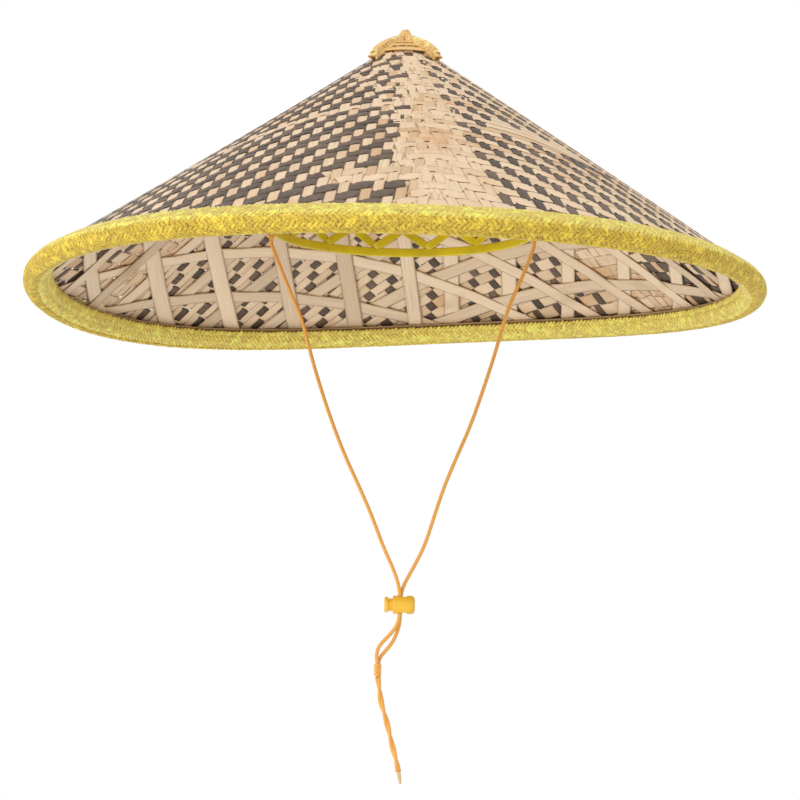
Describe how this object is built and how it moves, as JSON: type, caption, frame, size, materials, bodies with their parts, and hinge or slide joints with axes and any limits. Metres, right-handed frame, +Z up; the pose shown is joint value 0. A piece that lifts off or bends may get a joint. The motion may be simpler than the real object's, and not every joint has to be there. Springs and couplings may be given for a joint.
{
  "type": "conical hat",
  "caption": "Wide conical woven sun hat with a lattice lining, braided rim binding, lattice head ring and a chin cord with a sprung slide lock.",
  "frame": {"origin": "centre of the head ring's lower edge plane, where the hat sits on a head", "axes": "+Z up to the tip of the cone, -Y to the front, +X to the hat's left seen from the wearer, so the right of a viewer in front"},
  "size_m": [0.484, 0.484, 0.4986],
  "materials": {
    "dark_bamboo": "dyed split bamboo, satin",
    "natural_bamboo": "natural split bamboo, satin",
    "lattice_bamboo": "scraped wide bamboo strip, satin",
    "hoop_bamboo": "raw bamboo hoop",
    "yellow_braid": "braided plastic straw tape, semi-gloss",
    "stitch_thread": "pale yellow sewing thread",
    "orange_rattan": "varnished orange plaiting strip",
    "ring_plastic": "glossy olive-yellow moulded plastic",
    "tie_thread": "plastic tie",
    "orange_cord": "braided synthetic cord",
    "sealed_tip": "melted cord end",
    "lock_plastic": "glossy orange-yellow moulded plastic",
    "spring_steel": "small steel coil spring"
  },
  "bodies": {
    "hat": {"binding_stitches": "stitch_thread", "cord_knot_left": "orange_cord", "cord_knot_right": "orange_cord", "dark_strips_back": "dark_bamboo", "dark_strips_left": "dark_bamboo", "dark_strips_right": "dark_bamboo", "finial_knot": "orange_rattan", "finial_rib_back_left": "orange_rattan", "finial_rib_back_right": "orange_rattan", "finial_rib_front_left": "orange_rattan", "finial_rib_front_right": "orange_rattan", "finial_rungs_back": "orange_rattan", "finial_rungs_front": "orange_rattan", "finial_rungs_left": "orange_rattan", "finial_rungs_right": "orange_rattan", "head_ring_lower_band": "ring_plastic", "head_ring_slats_left": "ring_plastic", "head_ring_slats_right": "ring_plastic", "head_ring_ties": "tie_thread", "head_ring_upper_band": "ring_plastic", "lattice_strips_a": "lattice_bamboo", "lattice_strips_b": "lattice_bamboo", "lattice_strips_c": "lattice_bamboo", "lattice_strips_d": "lattice_bamboo", "lattice_strips_e": "lattice_bamboo", "natural_strips_back": "natural_bamboo", "natural_strips_left": "natural_bamboo", "natural_strips_right": "natural_bamboo", "rim_binding": "yellow_braid", "rim_core_hoop": "hoop_bamboo", "rim_inner_hoop": "hoop_bamboo"},
    "chin_cord": {"cord_leg_left": "orange_cord", "cord_leg_right": "orange_cord", "cord_strand_left": "orange_cord", "cord_strand_right": "orange_cord", "cord_tail": "orange_cord", "cord_tip": "sealed_tip", "cord_whipping": "orange_cord"},
    "cord_lock": {"lock_body": "lock_plastic", "lock_spring": "spring_steel"},
    "lock_button": {"lock_plunger": "lock_plastic"}
  },
  "joints": [
    {"name": "chin_cord_swing", "type": "hinge", "parent": "hat", "child": "chin_cord", "pos_m": [0, 0, -0.005], "axis": [1, 0, 0], "range_deg": [-60, 60]},
    {"name": "lock_slide", "type": "slide", "parent": "chin_cord", "child": "cord_lock", "axis": [0, 0, 1], "range_m": [-0.012, 0.11], "deforming": ["cord_leg_left", "cord_leg_right", "cord_strand_left", "cord_strand_right"]},
    {"name": "lock_button_press", "type": "slide", "parent": "cord_lock", "child": "lock_button", "axis": [1, 0, 0], "range_m": [0, 0.003], "stiffness_N_per_m": 400, "springref_m": -0.002, "deforming": ["lock_spring"]}
  ]
}
